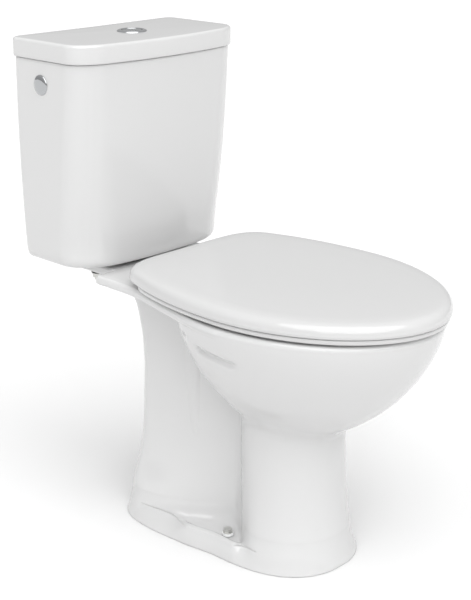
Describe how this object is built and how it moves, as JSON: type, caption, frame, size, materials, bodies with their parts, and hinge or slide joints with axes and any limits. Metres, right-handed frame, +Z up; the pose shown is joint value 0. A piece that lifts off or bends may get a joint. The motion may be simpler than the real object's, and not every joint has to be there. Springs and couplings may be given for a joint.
{
  "type": "close coupled toilet",
  "caption": "Close coupled toilet with an open-backed china pan, a cistern bolted on its deck, a hinged seat and cover and a split flush button in the lid.",
  "frame": {"origin": "middle of the bounding box at floor level", "axes": "+X to the sitter's left, -Y towards the front of the bowl, +Z up; the mirror plane is x = 0"},
  "size_m": [0.356, 0.67, 0.7482],
  "materials": {
    "china": "glossy white glaze",
    "seat_plastic": "glossy moulded thermoset",
    "chrome": "polished",
    "black_rubber": "matt",
    "clear_rubber": "matt translucent grey",
    "zinc_steel": "zinc plated",
    "white_plastic": "moulded",
    "blue_plastic": "moulded"
  },
  "bodies": {
    "pan_and_cistern": {"pan": "china", "floor_screws": "zinc_steel", "floor_screw_sleeves": "white_plastic", "cistern": "china", "side_hole_cap": "chrome", "side_cap_nut": "white_plastic", "doughnut_washer": "black_rubber", "coupling_bolts": "zinc_steel", "coupling_head_washers": "black_rubber", "coupling_rubber_washers": "black_rubber", "coupling_steel_washers": "zinc_steel", "coupling_wing_nuts": "zinc_steel", "flush_valve_base": "white_plastic", "flush_valve_gasket": "black_rubber", "flush_valve_nut": "white_plastic", "flush_valve_tower": "white_plastic", "fill_valve_body": "white_plastic", "fill_valve_washer": "black_rubber", "fill_valve_nut": "white_plastic", "fill_downpipe": "white_plastic", "float_pin": "zinc_steel", "hinge_posts": "chrome", "hinge_pins": "zinc_steel", "hinge_washers": "black_rubber", "hinge_nuts": "white_plastic"},
    "lid": {"cistern_lid": "china", "button_bezel": "chrome", "button_sleeve": "white_plastic", "button_nut": "white_plastic"},
    "full_button": {"full_flush_button": "chrome", "full_push_rod": "white_plastic"},
    "half_button": {"half_flush_button": "chrome", "half_push_rod": "white_plastic"},
    "flush_lift": {"overflow_tube": "blue_plastic", "flush_seal": "black_rubber"},
    "float": {"float_arm": "white_plastic", "float_cup": "blue_plastic"},
    "ring": {"seat_ring": "seat_plastic", "ring_buffers": "clear_rubber"},
    "cover": {"seat_cover": "seat_plastic", "cover_buffers": "clear_rubber"}
  },
  "joints": [
    {"name": "lid_lift", "type": "slide", "parent": "pan_and_cistern", "child": "lid", "axis": [0, 0, 1], "range_m": [0, 0.1]},
    {"name": "flush_valve_lift", "type": "slide", "parent": "pan_and_cistern", "child": "flush_lift", "axis": [0, 0, 1], "range_m": [0, 0.016]},
    {"name": "full_button_press", "type": "slide", "parent": "lid", "child": "full_button", "axis": [0, 0, -1], "range_m": [0, 0.005], "stiffness_N_per_m": 300, "springref_m": -0.003},
    {"name": "half_button_press", "type": "slide", "parent": "lid", "child": "half_button", "axis": [0, 0, -1], "range_m": [0, 0.005], "stiffness_N_per_m": 300, "springref_m": -0.003},
    {"name": "float_swing", "type": "hinge", "parent": "pan_and_cistern", "child": "float", "pos_m": [0.104, 0.2472, 0.684], "axis": [1, 0, 0], "range_deg": [0, 22]},
    {"name": "ring_hinge", "type": "hinge", "parent": "pan_and_cistern", "child": "ring", "pos_m": [0, 0.1272, 0.415], "axis": [1, 0, 0], "range_deg": [-92, 0]},
    {"name": "cover_hinge", "type": "hinge", "parent": "ring", "child": "cover", "pos_m": [0, 0.1272, 0.415], "axis": [-1, 0, 0], "range_deg": [0, 92]}
  ],
  "couplings": [
    {"joint": "full_button_press", "follows": "flush_valve_lift", "ratio": 0.3}
  ]
}
